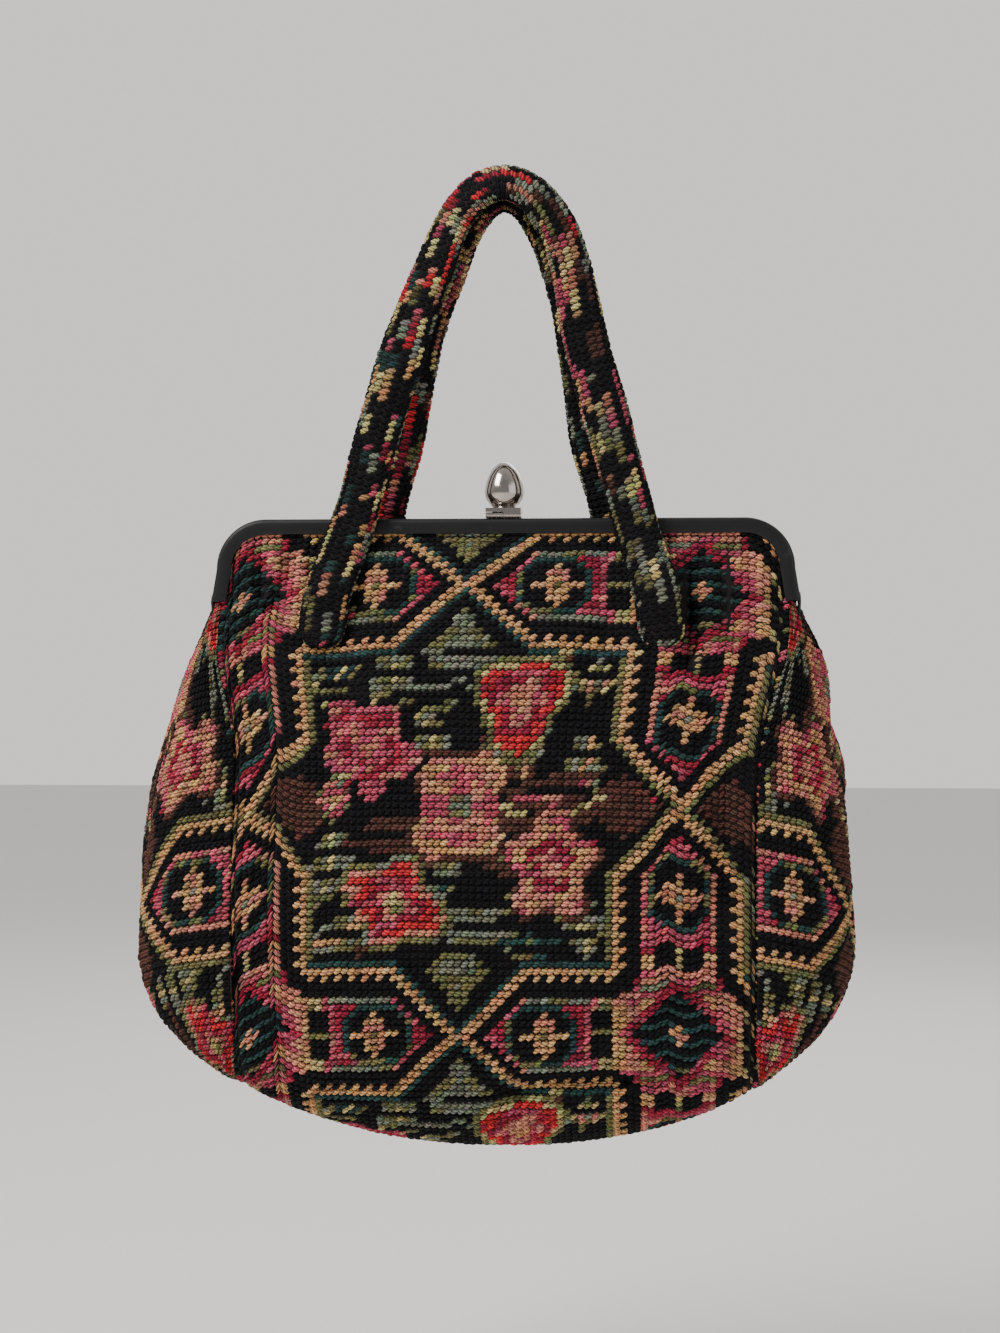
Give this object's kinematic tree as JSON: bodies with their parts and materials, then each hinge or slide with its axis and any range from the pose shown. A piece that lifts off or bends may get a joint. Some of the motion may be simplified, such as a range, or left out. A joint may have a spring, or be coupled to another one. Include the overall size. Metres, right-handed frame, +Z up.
{
  "type": "tapestry frame bag",
  "caption": "Padded tapestry pouch hung from a hinged black metal clasp frame with an acorn knob and two padded strap handles",
  "frame": {"origin": "underside of the two handles where they lie over a hook, on the bag's middle plane", "axes": "+X to the bag's right as seen from the front, +Y to the rear, +Z up"},
  "size_m": [0.3258, 0.0962, 0.4488],
  "materials": {
    "black_frame": "matte black enamel, a little worn on its edges",
    "nickel": "polished nickel plate",
    "tapestry": "wool tapestry in coloured stitches on a black ground",
    "lining": "plain dark woven cotton",
    "paper_cord": "twisted paper cord",
    "wadding": "white cotton wadding"
  },
  "bodies": {
    "pouch": {"front_panel": "tapestry", "rear_panel": "tapestry", "left_gusset": "tapestry", "right_gusset": "tapestry", "lining_front_panel": "lining", "lining_rear_panel": "lining", "lining_left_gusset": "lining", "lining_right_gusset": "lining", "lining_pocket": "lining", "left_hinge_rivet": "nickel", "right_hinge_rivet": "nickel"},
    "front_half": {"front_frame": "black_frame", "front_channel_cord": "paper_cord", "front_panel_top": "tapestry", "lining_front_panel_top": "lining", "front_handle_left_tab": "tapestry", "front_handle_right_tab": "tapestry", "clasp_base": "nickel", "clasp_pin": "nickel", "clasp_base_rivet_left": "nickel", "clasp_base_rivet_right": "nickel"},
    "rear_half": {"rear_frame": "black_frame", "rear_channel_cord": "paper_cord", "rear_panel_top": "tapestry", "lining_rear_panel_top": "lining", "rear_handle_left_tab": "tapestry", "rear_handle_right_tab": "tapestry", "catch_plate": "nickel", "catch_rivet_left": "nickel", "catch_rivet_right": "nickel"},
    "clasp": {"clasp_lever": "nickel", "acorn_knob": "nickel", "knob_screw": "nickel"},
    "front_grip": {"front_handle": "tapestry", "front_handle_core": "wadding"},
    "rear_grip": {"rear_handle": "tapestry", "rear_handle_core": "wadding"}
  },
  "joints": [
    {"name": "front_frame_open", "type": "hinge", "parent": "pouch", "child": "front_half", "pos_m": [0, 0, -0.19], "axis": [1, 0, 0], "range_deg": [0, 45]},
    {"name": "rear_frame_open", "type": "hinge", "parent": "pouch", "child": "rear_half", "pos_m": [0, 0, -0.19], "axis": [-1, 0, 0], "range_deg": [0, 45]},
    {"name": "clasp_lift", "type": "hinge", "parent": "front_half", "child": "clasp", "pos_m": [0, -0.00715, -0.14355], "axis": [1, 0, 0], "range_deg": [0, 75]},
    {"name": "front_handle_fold", "type": "hinge", "parent": "front_half", "child": "front_grip", "pos_m": [0, -0.02488, -0.181], "axis": [1, 0, 0], "range_deg": [0, 85]},
    {"name": "rear_handle_fold", "type": "hinge", "parent": "rear_half", "child": "rear_grip", "pos_m": [0, 0.02692, -0.181], "axis": [-1, 0, 0], "range_deg": [0, 85]}
  ],
  "couplings": [
    {"joint": "rear_frame_open", "follows": "front_frame_open", "ratio": 1}
  ]
}
